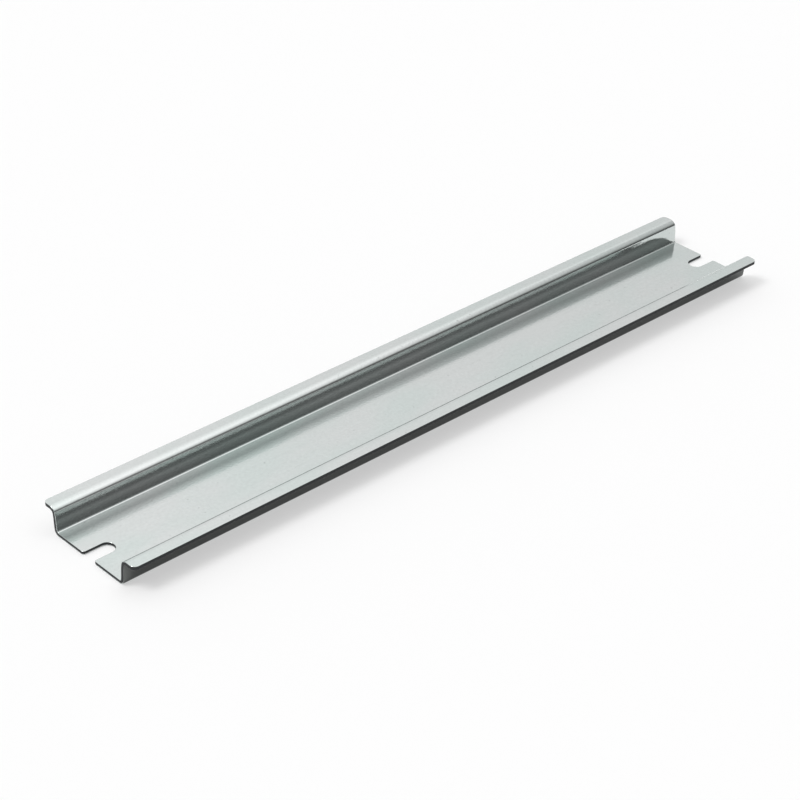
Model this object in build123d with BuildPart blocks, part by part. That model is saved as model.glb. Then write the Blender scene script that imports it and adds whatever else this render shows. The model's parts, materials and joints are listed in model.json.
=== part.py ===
from build123d import *
import os

# Top-hat mounting rail, 35 mm wide and 7.5 mm high, cut to 220 mm.
#
# One strip of zinc-plated steel, cold-rolled to a hat section. The web lies on the panel, two flanks
# rise from it, and two flanges turn outwards for devices to clip on. Each end is die-cut: a screw slot
# opens through the web's end, and the flanges' tips are rounded.
#
# Millimetres, +Z up. The origin is the centre of the web's underside, and +X runs along the rail.

# The hat section
rail_length = 220.0
rail_width = 35.0
rail_height = 7.5
flange_reach = 4.0
sheet_thickness = 1.0
web_bend_radius = 1.7
flange_bend_radius = 1.2

# The screw slot at each end
slot_width = 4.3
slot_depth = 7.3
slot_mouth_radius = 0.6

# The cut edges
tip_radius = 1.4
edge_radius = 0.12
cut_overrun = 2.0

# Half the section, from the edge of one flange to the middle: a flange reaches out from the flank
flange_edge = rail_width / 2
flank_side = flange_edge - flange_reach
channel_side = flank_side - sheet_thickness
flange_underside = rail_height - sheet_thickness
rail_end = rail_length / 2


def distance_from_middle(edge):
    """How far an edge lies from the rail's middle plane, to either side."""
    return abs(edge.center().Y)


def distance_from_centre(edge):
    """How far an edge lies from the middle of the rail's length, towards either end."""
    return abs(edge.center().X)


with BuildPart() as rail:
    # The section is drawn as one half, looking along the rail, and mirrored across its middle.
    with BuildSketch(Plane.YZ.offset(-rail_end)):
        with BuildLine():
            inside = FilletPolyline(
                (0, sheet_thickness),
                (channel_side, sheet_thickness),
                (channel_side, rail_height),
                (flange_edge, rail_height),
                radius=[web_bend_radius, flange_bend_radius + sheet_thickness],
            )
            outside = FilletPolyline(
                (0, 0),
                (flank_side, 0),
                (flank_side, flange_underside),
                (flange_edge, flange_underside),
                radius=[web_bend_radius + sheet_thickness, flange_bend_radius],
            )
            Line(outside @ 0, inside @ 0)
            Line(outside @ 1, inside @ 1)
        make_face()
        mirror(about=Plane.YZ)
    extrude(amount=rail_length)

    # A slot is a round-ended cut that starts beyond the rail's end and stops inside the web.
    with BuildSketch(Plane.XY):
        with Locations((rail_end + cut_overrun, 0), (-rail_end - cut_overrun, 0)):
            SlotOverall(2 * (slot_depth + cut_overrun), slot_width)
    extrude(amount=sheet_thickness, mode=Mode.SUBTRACT)

    # The die rounds both corners of a slot's mouth, which are the upright edges nearest the middle.
    upright_edges = rail.edges().filter_by(Axis.Z).group_by(distance_from_middle)
    fillet(upright_edges[0].group_by(distance_from_centre)[-1], slot_mouth_radius)

    # It rounds the tips of the flanges too, which are the upright edges furthest out.
    upright_edges = rail.edges().filter_by(Axis.Z).group_by(distance_from_middle)
    fillet(upright_edges[-1], tip_radius)

    # The strip's edges are broken all the way round: each fillet starts on a flange's long edge and
    # runs on round the tips, the ends and the slots, because those edges are tangent to each other.
    long_edges = rail.edges().filter_by(Axis.X).group_by(distance_from_middle)
    fillet(long_edges[-1], edge_radius)

rail.part.label = "rail"

os.makedirs("parts", exist_ok=True)
export_step(rail.part, "parts/rail.step")
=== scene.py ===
import json
import math

import bmesh
import bpy
from bpy.props import FloatProperty, FloatVectorProperty, IntProperty, PointerProperty
from mathutils import Matrix, Vector


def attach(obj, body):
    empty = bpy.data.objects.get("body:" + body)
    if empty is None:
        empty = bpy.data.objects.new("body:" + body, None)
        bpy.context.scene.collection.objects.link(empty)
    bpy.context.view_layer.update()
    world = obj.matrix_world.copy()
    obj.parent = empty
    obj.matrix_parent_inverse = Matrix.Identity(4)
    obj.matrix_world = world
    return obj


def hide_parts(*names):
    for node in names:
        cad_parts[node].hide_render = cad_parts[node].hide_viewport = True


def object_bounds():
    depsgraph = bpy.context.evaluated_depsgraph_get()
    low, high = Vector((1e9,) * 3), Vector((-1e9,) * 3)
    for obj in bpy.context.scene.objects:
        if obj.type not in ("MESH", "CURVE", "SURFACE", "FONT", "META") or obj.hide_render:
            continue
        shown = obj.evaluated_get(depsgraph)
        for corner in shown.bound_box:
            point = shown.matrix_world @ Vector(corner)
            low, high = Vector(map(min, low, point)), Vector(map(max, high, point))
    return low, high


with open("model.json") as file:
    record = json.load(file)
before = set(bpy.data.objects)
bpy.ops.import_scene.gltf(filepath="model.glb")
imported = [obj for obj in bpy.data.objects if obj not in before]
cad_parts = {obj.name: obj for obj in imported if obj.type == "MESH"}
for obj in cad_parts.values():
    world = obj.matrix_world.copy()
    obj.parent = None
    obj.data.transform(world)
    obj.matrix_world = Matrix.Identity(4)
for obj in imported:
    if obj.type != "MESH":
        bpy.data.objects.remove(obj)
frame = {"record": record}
cad_low, cad_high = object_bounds()
cad_span = cad_high - cad_low
slot_dims = next(m["dims"] for m in frame["record"]["mounts"] if m["name"] == "screw_slot_right")

bl_info = {
    "name": "Mounting Rail",
    "version": (1, 0, 0),
    "blender": (4, 5, 0),
    "location": "View3D > Sidebar > Rail",
    "description": "Rolls a zinc-plated top-hat mounting rail and sets it in a small studio",
    "category": "Add Mesh",
}

MM = 0.001


class RailSizes(bpy.types.PropertyGroup):
    """The rail's dimensions."""

    length: FloatProperty(
        name="Length", description="Length that the rail is cut to",
        default=cad_span.x, min=0.05, unit="LENGTH", precision=4,
    )
    width: FloatProperty(
        name="Width", description="Width over both flanges",
        default=cad_span.y, min=0.02, unit="LENGTH", precision=4,
    )
    height: FloatProperty(
        name="Height", description="Height from the panel to the top of the flanges",
        default=cad_span.z, min=0.005, unit="LENGTH", precision=4,
    )
    sheet_thickness: FloatProperty(
        name="Sheet", description="Thickness of the strip",
        default=1.0 * MM, min=0.0005, unit="LENGTH", precision=4,
    )
    flange_reach: FloatProperty(
        name="Flange reach", description="How far a flange reaches out from its flank's outer side",
        default=3.95 * MM, min=0.001, unit="LENGTH", precision=4,
    )
    web_bend_radius: FloatProperty(
        name="Web bend", description="Inside radius of the bend between the web and a flank",
        default=0.4 * MM, min=0.0001, unit="LENGTH", precision=4,
    )
    neck_radius: FloatProperty(
        name="Neck", description="Outside radius of the upper bend's lower half",
        default=1.5 * MM, min=0.001, unit="LENGTH", precision=4,
    )
    crest_radius: FloatProperty(
        name="Crest", description="Outside radius of the upper bend's upper half",
        default=2.3 * MM, min=0.001, unit="LENGTH", precision=4,
    )
    foot_lean: FloatProperty(
        name="Foot lean", description="How far a flank leans outwards at its foot",
        default=math.radians(7.4), min=0, max=math.radians(30), subtype="ANGLE",
    )
    waist_lean: FloatProperty(
        name="Waist lean", description="How far a flank leans outwards at half its height",
        default=math.radians(2.2), min=0, max=math.radians(30), subtype="ANGLE",
    )
    head_lean: FloatProperty(
        name="Head lean", description="How far a flank leans outwards at its head",
        default=math.radians(11.2), min=0, max=math.radians(30), subtype="ANGLE",
    )
    flange_droop: FloatProperty(
        name="Flange droop", description="How far a flange slopes down towards its edge",
        default=math.radians(1.6), min=0, max=math.radians(15), subtype="ANGLE",
    )
    slot_radius: FloatProperty(
        name="Slot radius", description="Radius of a screw slot's round inner end",
        default=slot_dims["hole_r_mm"] * MM, min=0.0005, unit="LENGTH", precision=4,
    )
    slot_depth: FloatProperty(
        name="Slot depth", description="How far a screw slot reaches in from the rail's end",
        default=slot_dims["slot_length_mm"] * MM, min=0.001, unit="LENGTH", precision=4,
    )
    slot_mouth_radius: FloatProperty(
        name="Slot mouth", description="Radius of the corners where a slot opens",
        default=0.6 * MM, min=0.0001, unit="LENGTH", precision=4,
    )
    tip_radius: FloatProperty(
        name="Flange tip", description="Radius of the flanges' corners, seen from above",
        default=1.4 * MM, min=0.0001, unit="LENGTH", precision=4,
    )
    edge_break: FloatProperty(
        name="Edge break", description="Rounding of the strip's cut edges",
        default=0.12 * MM, min=0.00002, unit="LENGTH", precision=5,
    )
    bend_segments: IntProperty(
        name="Bend segments", description="Facets across each bend", default=16, min=4, max=64,
    )
    corner_segments: IntProperty(
        name="Corner segments", description="Facets round a slot's end or a corner",
        default=16, min=4, max=64,
    )


class ZincFinish(bpy.types.PropertyGroup):
    """The colours and texture of the zinc plating and of the sheared edges, with painted shade under the
    flanges and on the edges.
    """

    zinc_color: FloatVectorProperty(
        name="Zinc", description="Colour of the plating",
        subtype="COLOR", size=3, min=0, max=1, default=(0.632, 0.652, 0.647),
    )
    tint_color: FloatVectorProperty(
        name="Tint", description="Cooler colour that the passivation gives in patches",
        subtype="COLOR", size=3, min=0, max=1, default=(0.595, 0.646, 0.632),
    )
    # Painted shade: this dark colour stands in for the shade and dark reflections beside each flank,
    # under its flange.
    painted_recess_shade_color: FloatVectorProperty(
        name="Recess", description="Colour of the thin, dull plating in the recess under each flange",
        subtype="COLOR", size=3, min=0, max=1, default=(0.190, 0.198, 0.193),
    )
    # Bare steel, partly real and partly painted shade: the colour is darker than bare steel, to stand in
    # for the dark surroundings that the sheared edges reflect.
    cut_steel_and_painted_shade_color: FloatVectorProperty(
        name="Cut edge", description="Colour of the bare steel on the sheared edges",
        subtype="COLOR", size=3, min=0, max=1, default=(0.050, 0.052, 0.054),
    )
    roughness: FloatProperty(
        name="Roughness", description="Roughness of the plating between its rolling lines",
        default=0.12, min=0, max=1, subtype="FACTOR",
    )
    cut_roughness: FloatProperty(
        name="Cut roughness", description="Roughness of the sheared edges",
        default=0.55, min=0, max=1, subtype="FACTOR",
    )
    line_depth: FloatProperty(
        name="Line depth", description="Depth of the rolling lines",
        default=0.003 * MM, min=0, unit="LENGTH", precision=6,
    )
    peel_depth: FloatProperty(
        name="Peel depth", description="Depth of the plating's fine unevenness",
        default=0.014 * MM, min=0, unit="LENGTH", precision=6,
    )


class StudioSettings(bpy.types.PropertyGroup):
    """The floor and the light round the rail."""

    floor_color: FloatVectorProperty(
        name="Floor", description="Colour of the floor",
        subtype="COLOR", size=3, min=0, max=1, default=(0.875, 0.875, 0.875),
    )
    floor_size: FloatProperty(
        name="Floor size", description="Side of the square floor",
        default=8.0, min=1, unit="LENGTH",
    )
    background_mix: FloatProperty(
        name="Background", description="How far the floor looks evenly white to the camera, shade or not",
        default=0.5, min=0, max=1, subtype="FACTOR",
    )
    mirror_mix: FloatProperty(
        name="Mirrored background", description="The same for the floor as the metal mirrors it",
        default=0.15, min=0, max=1, subtype="FACTOR",
    )
    wall_radiance: FloatProperty(
        name="Back wall", description="Brightness of the wall behind the rail, where 1 is white",
        default=0.85, min=0,
    )
    overhead_radiance: FloatProperty(
        name="Overhead", description="Brightness that the light panel overhead adds",
        default=0.63, min=0,
    )
    front_radiance: FloatProperty(
        name="Front", description="Brightness of the studio in front of the rail",
        default=0.123, min=0,
    )
    low_radiance: FloatProperty(
        name="Low front", description="Brightness just above the floor, in front and to the left",
        default=0.47, min=0,
    )
    left_dimming: FloatProperty(
        name="Left dimming", description="How much darker the left side is",
        default=0.25, min=0, max=1, subtype="FACTOR",
    )
    left_setback: FloatProperty(
        name="Left setback", description="How far back the lit side begins on the left",
        default=0.45, min=0,
    )
    right_dimming: FloatProperty(
        name="Right dimming", description="Brightness that is missing at the front on the right",
        default=0.5, min=0,
    )
    end_radiance: FloatProperty(
        name="Ends", description="Brightness of the studio beyond both ends of the rail",
        default=0.7, min=0,
    )
    key_radiance: FloatProperty(
        name="Key", description="Brightness that the key light adds, high up to the left",
        default=11.2, min=0,
    )


# Where the photograph was taken from, in the rail's own frame
CAMERA_POSITION = Vector((-344.0, -345.6, 309.4)) * MM
CAMERA_YAW = math.radians(43.886)
CAMERA_PITCH = math.radians(32.592)
CAMERA_ROLL = math.radians(-1.702)
CAMERA_LENS = 99.757
CAMERA_SENSOR = 36.0

# The floor is this far below the rail, so that two faces never lie in one plane
FLOOR_GAP = 0.01 * MM

# Facets across a rounded edge, and how close two vertices lie when they are merged
EDGE_SEGMENTS = 3
MERGE_DISTANCE = 0.001 * MM

# How strongly the large faces set the shading of the corners that they share
FLAT_FACE_WEIGHT = 100

# A Mix node that is set to colours has its two colours and its result at these sockets
MIX_FIRST = 6
MIX_SECOND = 7
MIX_RESULT = 2

# The size of each feature of the plating, and its stretch along and across the rail
LINE_SIZE = 0.22 * MM
LINE_STRETCH = (220, 1, 1)
PEEL_SIZE = 0.5 * MM
PEEL_STRETCH = (1.6, 1, 1)
GRAIN_SIZE = 0.8 * MM
PATCH_SIZE = 16 * MM
PATCH_STRETCH = (2.2, 1, 1)
SPECK_SIZE = 1.1 * MM

# The noise values between which a patch and a speck fade in
PATCH_FADE = (0.35, 0.65)
SPECK_FADE = (0.80, 0.86)

# How light the plating is by itself, and how far each feature lightens or darkens it
PLATING_SHADE = 0.88
LINE_SHADE = 0.08
GRAIN_SHADE = 0.16
SPECK_SHADE = 0.18

# How far a feature changes the roughness, and the noise value at which it leaves it alone
ROUGHNESS_SPREAD = 0.06
NOISE_MIDDLE = 0.5

# Plating shows where the mark on the cut edges is below the first value, and bare steel darkened with
# painted shade above the second
CUT_FADE = (0.12, 0.40)

# The painted shade starts, and is full, this far inside a flank's outer side
PAINTED_SHADE_START = 0.55 * MM
PAINTED_SHADE_FULL = 0.25 * MM

# It begins to fade, and ends, this far above a flange's underside
PAINTED_SHADE_FADE = -0.05 * MM
PAINTED_SHADE_END = 0.2 * MM

# The directions along which the studio's light changes, and the measures between which it does
LIT_SIDE = (0.026, 0.567, 0.824)
LIT_FADE = (-0.176, 0.633)
PANEL_SIDE = (-2.325, -0.962, 0.272)
PANEL_FADE = (-2.365, -0.447)
DIM_SIDE = (1.934, -0.364, 0.931)
DIM_FADE = (1.845, 2.060)
KEY_SIDE = (-0.490, 0.220, 0.843)
KEY_FADE = (0.965, 0.990)

# The same measures for what changes from left to right, upwards, and towards both ends
LEFT_FADE = (0.10, 0.44)
LOW_FADE = (0.44, 0.62)
RISE_FADE = (0.14, 0.42)
END_FADE = (0.78, 0.95)


class Wire:
    """A shader socket that takes part in Python arithmetic: each operator adds a Math node."""

    def __init__(self, shading, socket):
        self.shading = shading
        self.socket = socket

    def _math(self, operation, first, second):
        return self.shading.node("ShaderNodeMath", {"operation": operation}, {0: first, 1: second})

    def __add__(self, other):
        return self._math("ADD", self, other)

    __radd__ = __add__

    def __mul__(self, other):
        return self._math("MULTIPLY", self, other)

    __rmul__ = __mul__

    def __sub__(self, other):
        return self._math("SUBTRACT", self, other)

    def __rsub__(self, other):
        return self._math("SUBTRACT", other, self)


class Shading:
    """Adds nodes to the tree of a material or a world."""

    def __init__(self, tree):
        self.tree = tree
        tree.nodes.clear()

    def node(self, kind, settings=None, sockets=None, output=0):
        """Adds one node: its settings first, then the values or wires of its sockets."""
        added = self.tree.nodes.new(kind)
        for name, value in (settings or {}).items():
            setattr(added, name, value)
        for key, value in (sockets or {}).items():
            if isinstance(value, Wire):
                self.tree.links.new(value.socket, added.inputs[key])
            else:
                added.inputs[key].default_value = value
        return Wire(self, added.outputs[output]) if added.outputs else None

    def mix(self, factor, first, second):
        """A colour between two others."""
        sockets = {"Factor": factor, MIX_FIRST: first, MIX_SECOND: second}
        return self.node("ShaderNodeMix", {"data_type": "RGBA"}, sockets, output=MIX_RESULT)

    def smooth_step(self, value, low, high):
        """Nought below low, one above high, and a smooth rise between them."""
        sockets = {"Value": value, "From Min": low, "From Max": high}
        return self.node("ShaderNodeMapRange", {"interpolation_type": "SMOOTHSTEP"}, sockets)

    def noise(self, place, size, detail, roughness=0.5, stretch=(1, 1, 1), seed=0):
        """Noise whose features are about this size, in metres, times the stretch along each axis."""
        scale = [1 / (size * s) for s in stretch]
        spot = self.node(
            "ShaderNodeMapping", {}, {"Vector": place, "Scale": scale, "Location": (seed, seed, seed)}
        )
        return self.node(
            "ShaderNodeTexNoise", {},
            {"Vector": spot, "Scale": 1.0, "Detail": detail, "Roughness": roughness},
        )


def rgba(color):
    """A colour property as the four numbers of a colour socket."""
    return (*color, 1.0)


def shade_zinc(finish, sizes):
    """Zinc plating over rolled strip, with painted shade beside each flank under its flange, and bare
    steel darkened with painted shade where the strip was sheared.
    """
    material = bpy.data.materials.new("zinc_plating")
    material.use_nodes = True
    shading = Shading(material.node_tree)
    place = shading.node("ShaderNodeTexCoord", output="Object")
    across, height = [
        shading.node("ShaderNodeSeparateXYZ", {}, {"Vector": place}, output=axis) for axis in ("Y", "Z")
    ]

    # The masks: the sheared edges, and the painted shade beside each flank and under its flange
    side = shading.node("ShaderNodeAttribute", {"attribute_name": "cut_edge"}, output="Fac")
    cut = shading.smooth_step(side, *CUT_FADE)
    flank_side = sizes.width / 2 - sizes.flange_reach
    flange_underside = sizes.height - sizes.sheet_thickness
    out = shading.node("ShaderNodeMath", {"operation": "ABSOLUTE"}, {0: across})
    beside = shading.smooth_step(out, flank_side - PAINTED_SHADE_START, flank_side - PAINTED_SHADE_FULL)
    above = shading.smooth_step(height, flange_underside + PAINTED_SHADE_FADE, flange_underside + PAINTED_SHADE_END)
    painted_recess_shade = beside * (1 - above)

    lines = shading.noise(place, LINE_SIZE, detail=3, stretch=LINE_STRETCH)
    peel = shading.noise(place, PEEL_SIZE, detail=2, stretch=PEEL_STRETCH, seed=7)
    grain = shading.noise(place, GRAIN_SIZE, detail=3, roughness=0.6, seed=19)
    patches = shading.noise(place, PATCH_SIZE, detail=2, stretch=PATCH_STRETCH, seed=31)
    specks = shading.noise(place, SPECK_SIZE, detail=0, seed=43)
    patches = shading.smooth_step(patches, *PATCH_FADE)
    specks = shading.smooth_step(specks, *SPECK_FADE)

    plating = shading.mix(patches, rgba(finish.zinc_color), rgba(finish.tint_color))
    shade = PLATING_SHADE + LINE_SHADE * lines + GRAIN_SHADE * grain - SPECK_SHADE * specks
    grey = shading.node("ShaderNodeCombineColor", {}, {"Red": shade, "Green": shade, "Blue": shade})
    plating = shading.node(
        "ShaderNodeMix", {"data_type": "RGBA", "blend_type": "MULTIPLY"},
        {"Factor": 1.0, MIX_FIRST: plating, MIX_SECOND: grey}, output=MIX_RESULT,
    )
    # Painted shade: the plating beside each flank, under its flange, is darkened to stand in for the
    # shade and dark reflections there.
    plating = shading.mix(painted_recess_shade, plating, rgba(finish.painted_recess_shade_color))
    # The sheared edges get bare steel, darkened with painted shade.
    color = shading.mix(cut, plating, rgba(finish.cut_steel_and_painted_shade_color))

    uneven = ROUGHNESS_SPREAD * (lines - NOISE_MIDDLE) + ROUGHNESS_SPREAD * (grain - NOISE_MIDDLE)
    roughness = finish.roughness + uneven + cut * (finish.cut_roughness - finish.roughness)

    relief = finish.line_depth * lines + finish.peel_depth * peel
    bump = shading.node("ShaderNodeBump", {}, {"Height": relief, "Distance": 1.0, "Strength": 1.0})
    surface = shading.node(
        "ShaderNodeBsdfPrincipled", {},
        {"Base Color": color, "Roughness": roughness, "Metallic": 1.0, "Normal": bump},
    )
    shading.node("ShaderNodeOutputMaterial", {}, {"Surface": surface})
    return material


class Rolls:
    """Forms the strip on from its free edge, as the rolls of a mill do, and keeps its place and slope."""

    def __init__(self, bm, edges, place):
        self.bm = bm
        self.edges = edges
        self.place = Vector(place)
        self.slope = 0.0

    def bend(self, radius, slope, segments):
        """Bends the strip round to a new slope, at this radius."""
        turn = slope - self.slope
        side = math.copysign(radius, turn)
        centre = self.place + side * Vector((0, -math.sin(self.slope), math.cos(self.slope)))
        made = bmesh.ops.spin(
            self.bm, geom=self.edges, cent=centre, axis=(1, 0, 0), angle=turn, steps=segments
        )
        self.edges = [g for g in made["geom_last"] if isinstance(g, bmesh.types.BMEdge)]
        self.place = centre - side * Vector((0, -math.sin(slope), math.cos(slope)))
        self.slope = slope

    def run_to(self, y):
        """Runs the strip straight on until it is this far from the middle."""
        made = bmesh.ops.extrude_edge_only(self.bm, edges=self.edges)["geom"]
        verts = [g for g in made if isinstance(g, bmesh.types.BMVert)]
        across = y - self.place.y
        offset = Vector((0, across, across * math.tan(self.slope)))
        bmesh.ops.translate(self.bm, verts=verts, vec=offset)
        self.edges = [g for g in made if isinstance(g, bmesh.types.BMEdge) and set(g.verts) <= set(verts)]
        self.place = self.place + offset


def arc_rise(start, end):
    """How far an arc of radius 1 rises between two slopes."""
    return abs(math.cos(start) - math.cos(end))


def arc_reach(start, end):
    """How far an arc of radius 1 reaches across between two slopes."""
    return abs(math.sin(start) - math.sin(end))


def extrude_point(bm, vert, offset):
    """Extrudes a vertex by an offset and returns the new vertex."""
    made = bmesh.ops.extrude_vert_indiv(bm, verts=[vert])["verts"]
    bmesh.ops.translate(bm, verts=made, vec=offset)
    return made[0]


def turn_point(bm, vert, centre, degrees, segments):
    """Sweeps a vertex round an upright axis and returns where it ends."""
    made = bmesh.ops.spin(
        bm, geom=[vert], cent=centre, axis=(0, 0, 1), angle=math.radians(degrees), steps=segments
    )
    return next(g for g in made["geom_last"] if isinstance(g, bmesh.types.BMVert))


def form_strip(sizes):
    """The rail as a bmesh: a quarter of its upper face, mirrored twice, thickened and edge-rounded."""
    bm = bmesh.new()
    bm.faces.layers.int.new("rim")
    bm.verts.layers.float.new("cut_edge")
    end = sizes.length / 2
    edge = sizes.width / 2
    top = sizes.height
    web_top = sizes.sheet_thickness
    channel_side = edge - sizes.flange_reach - sizes.sheet_thickness

    # A flank is two shallow arcs of one length, which bow it in at its waist.
    foot = math.pi / 2 - sizes.foot_lean
    waist = math.pi / 2 - sizes.waist_lean
    head = math.pi / 2 - sizes.head_lean
    shoulder = math.pi / 4
    rise = top - web_top - sizes.web_bend_radius * arc_rise(0, foot)
    rise -= sizes.neck_radius * arc_rise(head, shoulder) + sizes.crest_radius * arc_rise(shoulder, 0)
    lower_rise = arc_rise(foot, waist) / (waist - foot)
    upper_rise = arc_rise(waist, head) / (waist - head)
    half_length = rise / (lower_rise + upper_rise)
    lower_radius = half_length / (waist - foot)
    upper_radius = half_length / (waist - head)
    web_flat = channel_side - sizes.web_bend_radius * arc_reach(0, foot)
    web_flat -= lower_radius * arc_reach(foot, waist)

    # The web's outline runs from the slot's inner end round the slot, along the rail's end and back.
    slot_start = end - sizes.slot_depth
    slot_centre = slot_start + sizes.slot_radius
    mouth = sizes.slot_mouth_radius
    point = bm.verts.new((slot_start, 0, web_top))
    point = turn_point(bm, point, (slot_centre, 0, web_top), -90, sizes.corner_segments)
    point = extrude_point(bm, point, (end - mouth - slot_centre, 0, 0))
    mouth_centre = (end - mouth, sizes.slot_radius + mouth, web_top)
    point = turn_point(bm, point, mouth_centre, 90, sizes.corner_segments // 2)
    point = extrude_point(bm, point, (0, web_flat - sizes.slot_radius - mouth, 0))
    point = extrude_point(bm, point, (-end, 0, 0))
    point = extrude_point(bm, point, (0, -web_flat, 0))
    extrude_point(bm, point, (slot_start, 0, 0))
    bmesh.ops.remove_doubles(bm, verts=bm.verts[:], dist=MERGE_DISTANCE)
    fold = max(bm.edges, key=lambda e: min(v.co.y for v in e.verts))
    bmesh.ops.contextual_create(bm, geom=bm.edges[:])

    # From the web the strip bends up, rises as the flank, and bends out into the flange.
    rolls = Rolls(bm, [fold], (0, web_flat, web_top))
    rolls.bend(sizes.web_bend_radius, foot, sizes.bend_segments)
    rolls.bend(lower_radius, waist, sizes.bend_segments // 2)
    rolls.bend(upper_radius, head, sizes.bend_segments // 2)
    rolls.bend(sizes.neck_radius, shoulder, sizes.bend_segments)
    rolls.bend(sizes.crest_radius, -sizes.flange_droop, sizes.bend_segments)
    rolls.run_to(edge)
    tip = max(rolls.edges[0].verts, key=lambda v: v.co.x)
    bmesh.ops.bevel(
        bm, geom=[tip], offset=sizes.tip_radius, offset_type="OFFSET", affect="VERTICES",
        segments=sizes.corner_segments, profile=0.5, material=-1,
    )

    for axis in ("Y", "X"):
        bmesh.ops.mirror(
            bm, geom=bm.verts[:] + bm.edges[:] + bm.faces[:], matrix=Matrix.Identity(4),
            merge_dist=MERGE_DISTANCE, axis=axis,
        )
    bmesh.ops.remove_doubles(bm, verts=bm.verts[:], dist=MERGE_DISTANCE)
    bmesh.ops.recalc_face_normals(bm, faces=bm.faces[:])
    if max(bm.faces, key=lambda f: f.calc_area()).normal.z < 0:
        bmesh.ops.reverse_faces(bm, faces=bm.faces[:])

    upper = bm.faces[:]
    bmesh.ops.solidify(bm, geom=upper, thickness=sizes.sheet_thickness)
    break_edges(bm, upper, sizes.edge_break, web_top)
    return bm


def break_edges(bm, upper, width, web_top):
    """Rounds the sharp edges of the cut rim, and marks the rim's vertices in the layer cut_edge.

    The mark fades out down the cut faces of the web, and is full on those of the flanks and flanges.
    """
    side = bm.verts.layers.float["cut_edge"]
    for vert in {v for face in upper for v in face.verts}:
        vert[side] = 1.0
    rim = {f for face in upper for e in face.edges for f in e.link_faces} - set(upper)
    is_rim = bm.faces.layers.int["rim"]
    for face in rim:
        face[is_rim] = 1
    sharp = {e for face in rim for e in face.edges if any(f not in rim for f in e.link_faces)}
    rounded = bmesh.ops.bevel(
        bm, geom=list(sharp), offset=width, offset_type="OFFSET", affect="EDGES",
        segments=EDGE_SEGMENTS, profile=0.5, material=-1,
    )["faces"]

    cut_faces = {f for f in bm.faces if f[is_rim]} - set(rounded)
    cut_verts = {v for face in cut_faces for v in face.verts}
    for vert in bm.verts:
        if vert not in cut_verts:
            vert[side] = 0.0
        elif vert.co.z > web_top:
            vert[side] = 1.0
    bm.faces.layers.int.remove(is_rim)


def add_object(name, bm, material):
    """Makes a mesh object of a bmesh, at the origin, and frees the bmesh."""
    mesh = bpy.data.meshes.new(name)
    bm.to_mesh(mesh)
    bm.free()
    mesh.materials.append(material)
    added = bpy.data.objects.new(name, mesh)
    bpy.context.scene.collection.objects.link(added)
    return added


class RAIL_OT_form_rail(bpy.types.Operator):
    """Roll the rail, cut its ends and plate it"""

    bl_idname = "rail.form_rail"
    bl_label = "Form Rail"

    def execute(self, context):
        sizes = context.scene.rail_sizes
        bm = form_strip(sizes)
        for face in bm.faces:
            face.smooth = True
        rail = add_object("hat_rail", bm, shade_zinc(context.scene.zinc_finish, sizes))
        weighted = rail.modifiers.new("flat_faces_stay_flat", "WEIGHTED_NORMAL")
        weighted.weight = FLAT_FACE_WEIGHT
        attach(rail, "root")
        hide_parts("rail")
        return {"FINISHED"}


def shade_floor(settings):
    """Matt pale paint, mixed with an even white for the camera and for reflections."""
    material = bpy.data.materials.new("studio_floor")
    material.use_nodes = True
    shading = Shading(material.node_tree)
    paint = shading.node(
        "ShaderNodeBsdfDiffuse", {}, {"Color": rgba(settings.floor_color), "Roughness": 0.0}
    )
    white = shading.node("ShaderNodeEmission", {}, {"Color": (1, 1, 1, 1), "Strength": 1.0})
    camera, glossy, transmission = [
        shading.node("ShaderNodeLightPath", output=name)
        for name in ("Is Camera Ray", "Is Glossy Ray", "Is Transmission Ray")
    ]
    share = settings.background_mix * camera + settings.mirror_mix * (glossy + transmission)
    surface = shading.node("ShaderNodeMixShader", {}, {0: share, 1: paint, 2: white})
    shading.node("ShaderNodeOutputMaterial", {}, {"Surface": surface})
    return material


def lay_floor(settings):
    """A plain pale floor under the rail."""
    bm = bmesh.new()
    bmesh.ops.create_grid(bm, x_segments=1, y_segments=1, size=settings.floor_size / 2)
    bmesh.ops.translate(bm, verts=bm.verts[:], vec=(0, 0, cad_low.z - FLOOR_GAP))
    add_object("studio_floor", bm, shade_floor(settings))


def light_surround(settings):
    """The studio round the rail: a light panel overhead, a bright wall behind and a dim room in front."""
    world = bpy.data.worlds.new("studio")
    world.use_nodes = True
    bpy.context.scene.world = world
    shading = Shading(world.node_tree)
    ray = shading.node("ShaderNodeTexCoord", output="Generated")

    def along(direction):
        return shading.node(
            "ShaderNodeVectorMath", {"operation": "DOT_PRODUCT"}, {0: ray, 1: direction}, output="Value"
        )

    right = along((1, 0, 0))
    up = along((0, 0, 1))
    endwise = shading.node("ShaderNodeMath", {"operation": "ABSOLUTE"}, {0: right})
    left = 1 - shading.smooth_step(right, *LEFT_FADE)

    # The dim room is lighter just above the floor, but not on the right.
    front = settings.front_radiance
    low = settings.low_radiance
    low = low + (front - low) * shading.smooth_step(right, *LOW_FADE)
    dark = low + (front - low) * shading.smooth_step(up, *RISE_FADE)

    # The lit side is the wall and the panel, and is dimmer at the front on the right and on the left.
    lit = settings.wall_radiance
    lit = lit + settings.overhead_radiance * shading.smooth_step(along(PANEL_SIDE), *PANEL_FADE)
    lit = lit - settings.right_dimming * shading.smooth_step(along(DIM_SIDE), *DIM_FADE)
    lit = lit * (1 - settings.left_dimming * left)

    edge = along(LIT_SIDE) - settings.left_setback * left
    radiance = dark + (lit - dark) * shading.smooth_step(edge, *LIT_FADE)
    radiance = radiance + (settings.end_radiance - radiance) * shading.smooth_step(endwise, *END_FADE)
    radiance = radiance + settings.key_radiance * shading.smooth_step(along(KEY_SIDE), *KEY_FADE)
    background = shading.node("ShaderNodeBackground", {}, {"Color": (1, 1, 1, 1), "Strength": radiance})
    shading.node("ShaderNodeOutputWorld", {}, {"Surface": background})


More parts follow.
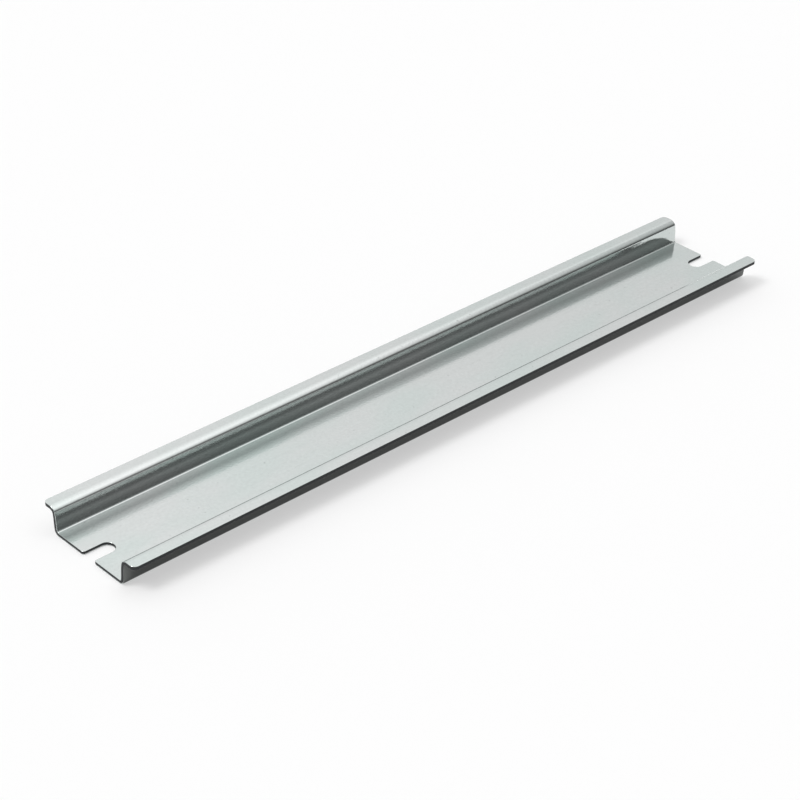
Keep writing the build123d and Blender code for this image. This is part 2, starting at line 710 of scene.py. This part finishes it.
def place_camera():
    """Looks at the rail from where the photograph was taken."""
    level = math.cos(CAMERA_PITCH)
    ahead = Vector(
        (level * math.sin(CAMERA_YAW), level * math.cos(CAMERA_YAW), -math.sin(CAMERA_PITCH))
    )
    right = ahead.cross(Vector((0, 0, 1))).normalized()
    down = ahead.cross(right)
    cos_roll = math.cos(CAMERA_ROLL)
    sin_roll = math.sin(CAMERA_ROLL)
    rolled_right = right * cos_roll + down * sin_roll
    rolled_down = down * cos_roll - right * sin_roll

    lens = bpy.data.cameras.new("camera")
    lens.lens = CAMERA_LENS
    lens.sensor_width = CAMERA_SENSOR
    camera = bpy.data.objects.new("camera", lens)
    bpy.context.scene.collection.objects.link(camera)
    axes = Matrix((rolled_right, -rolled_down, -ahead)).transposed().to_4x4()
    camera.matrix_world = Matrix.Translation(CAMERA_POSITION) @ axes
    bpy.context.scene.camera = camera


class RAIL_OT_set_studio(bpy.types.Operator):
    """Lay the floor, light the studio and place the camera"""

    bl_idname = "rail.set_studio"
    bl_label = "Set Studio"

    def execute(self, context):
        settings = context.scene.studio_settings
        lay_floor(settings)
        light_surround(settings)
        place_camera()
        context.scene.view_settings.view_transform = "Standard"
        return {"FINISHED"}


class RAIL_PT_sidebar(bpy.types.Panel):
    """Lists the rail's settings and operators"""

    bl_label = "Mounting Rail"
    bl_idname = "RAIL_PT_sidebar"
    bl_space_type = "VIEW_3D"
    bl_region_type = "UI"
    bl_category = "Rail"

    def draw(self, context):
        groups = (
            (RAIL_OT_form_rail.bl_idname, (context.scene.rail_sizes, context.scene.zinc_finish)),
            (RAIL_OT_set_studio.bl_idname, (context.scene.studio_settings,)),
        )
        for operator, settings in groups:
            box = self.layout.box()
            for group in settings:
                for name in group.__annotations__:
                    box.prop(group, name)
            box.operator(operator)


CLASSES = (
    RailSizes, ZincFinish, StudioSettings,
    RAIL_OT_form_rail, RAIL_OT_set_studio, RAIL_PT_sidebar,
)


def register():
    for cls in CLASSES:
        bpy.utils.register_class(cls)
    bpy.types.Scene.rail_sizes = PointerProperty(type=RailSizes)
    bpy.types.Scene.zinc_finish = PointerProperty(type=ZincFinish)
    bpy.types.Scene.studio_settings = PointerProperty(type=StudioSettings)


def unregister():
    del bpy.types.Scene.studio_settings
    del bpy.types.Scene.zinc_finish
    del bpy.types.Scene.rail_sizes
    for cls in reversed(CLASSES):
        bpy.utils.unregister_class(cls)


def main():
    register()
    bpy.ops.rail.form_rail()
    bpy.ops.rail.set_studio()


if __name__ == "__main__":
    main()
